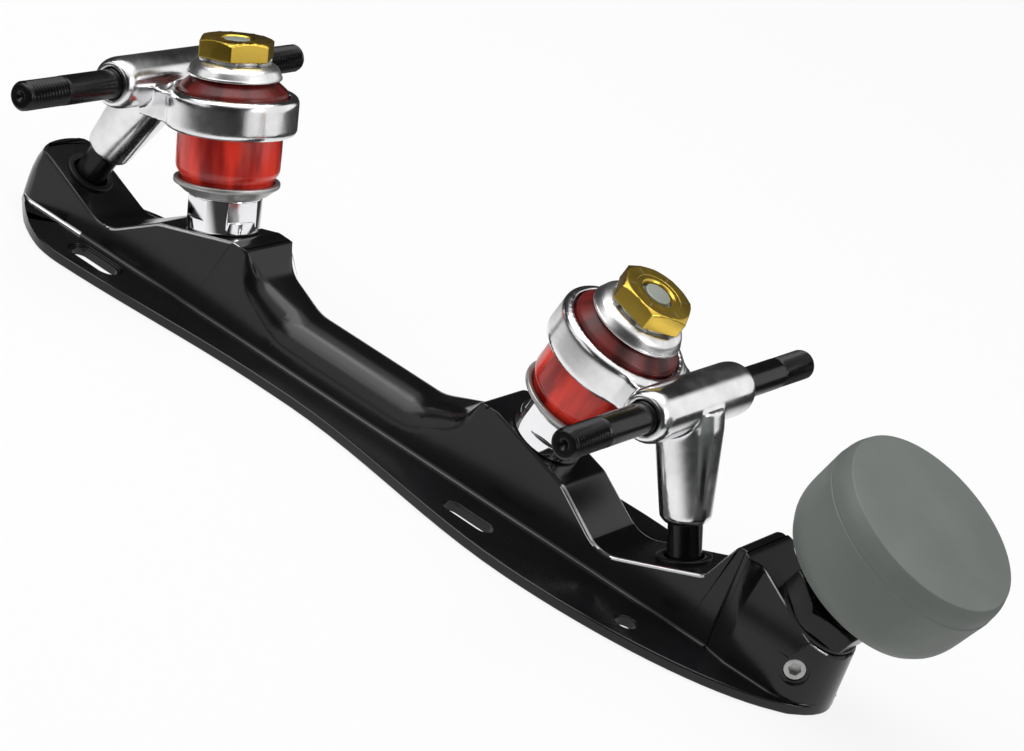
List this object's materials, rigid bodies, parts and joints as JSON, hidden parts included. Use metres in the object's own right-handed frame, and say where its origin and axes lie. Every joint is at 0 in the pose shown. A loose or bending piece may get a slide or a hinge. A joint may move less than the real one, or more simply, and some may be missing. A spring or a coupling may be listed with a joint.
{
  "type": "roller skate plate",
  "caption": "Low quad roller skate plate with cushioned double-action trucks, short threaded axles and a screw-in rubber toe stop.",
  "frame": {"origin": "on the sole face, midway between the two axles and on the plate's centre line", "axes": "+X towards the toe, +Y across the plate, +Z from the sole face towards the axles"},
  "size_m": [0.2689, 0.1008, 0.0663],
  "materials": {
    "plate": "black anodised, gloss, bare bright edges",
    "hanger": "polished casting",
    "axle": "black oxide, threaded ends",
    "kingpin": "zinc plated",
    "lock_sleeve": "bright chrome",
    "cup": "pressed sheet, satin zinc",
    "cushion": "cast urethane, glossy, slightly clear red",
    "washer": "zinc plated",
    "nut": "yellow zinc",
    "pivot_cup": "moulded, satin black",
    "stop_rubber": "moulded grey-green rubber, matt",
    "stop_steel": "black oxide",
    "set_screw": "zinc plated"
  },
  "bodies": {
    "plate": {"plate_body": "plate", "front_pivot_cup": "pivot_cup", "rear_pivot_cup": "pivot_cup", "front_kingpin": "kingpin", "front_lock_sleeve": "lock_sleeve", "front_lower_cup": "cup", "front_lower_cushion": "cushion", "front_upper_cushion": "cushion", "front_upper_cup": "cup", "front_tab_washer": "washer", "front_top_nut": "nut", "rear_kingpin": "kingpin", "rear_lock_sleeve": "lock_sleeve", "rear_lower_cup": "cup", "rear_lower_cushion": "cushion", "rear_upper_cushion": "cushion", "rear_upper_cup": "cup", "rear_tab_washer": "washer", "rear_top_nut": "nut", "toe_stop_washer": "stop_steel", "toe_stop_nut": "stop_steel", "toe_set_screw": "set_screw"},
    "front_truck": {"front_hanger": "hanger", "front_axle": "axle", "front_pivot_pin": "axle"},
    "rear_truck": {"rear_hanger": "hanger", "rear_axle": "axle", "rear_pivot_pin": "axle"},
    "toe_stop": {"toe_stop_stem": "stop_steel", "toe_stop_rubber": "stop_rubber"}
  },
  "joints": [
    {"name": "front_steer", "type": "hinge", "parent": "plate", "child": "front_truck", "pos_m": [0.09301, 0, 0.01057], "axis": [-0.6892, 0, 0.7246], "range_deg": [-8, 8], "stiffness_Nm_per_rad": 30, "deforming": ["front_lower_cushion", "front_upper_cushion"]},
    {"name": "rear_steer", "type": "hinge", "parent": "plate", "child": "rear_truck", "pos_m": [-0.09301, 0, 0.01057], "axis": [0.6892, 0, 0.7246], "range_deg": [-8, 8], "stiffness_Nm_per_rad": 30, "deforming": ["rear_lower_cushion", "rear_upper_cushion"]},
    {"name": "toe_stop_height", "type": "slide", "parent": "plate", "child": "toe_stop", "axis": [0.4099, 0, 0.9121], "range_m": [-0.004, 0.007]}
  ]
}
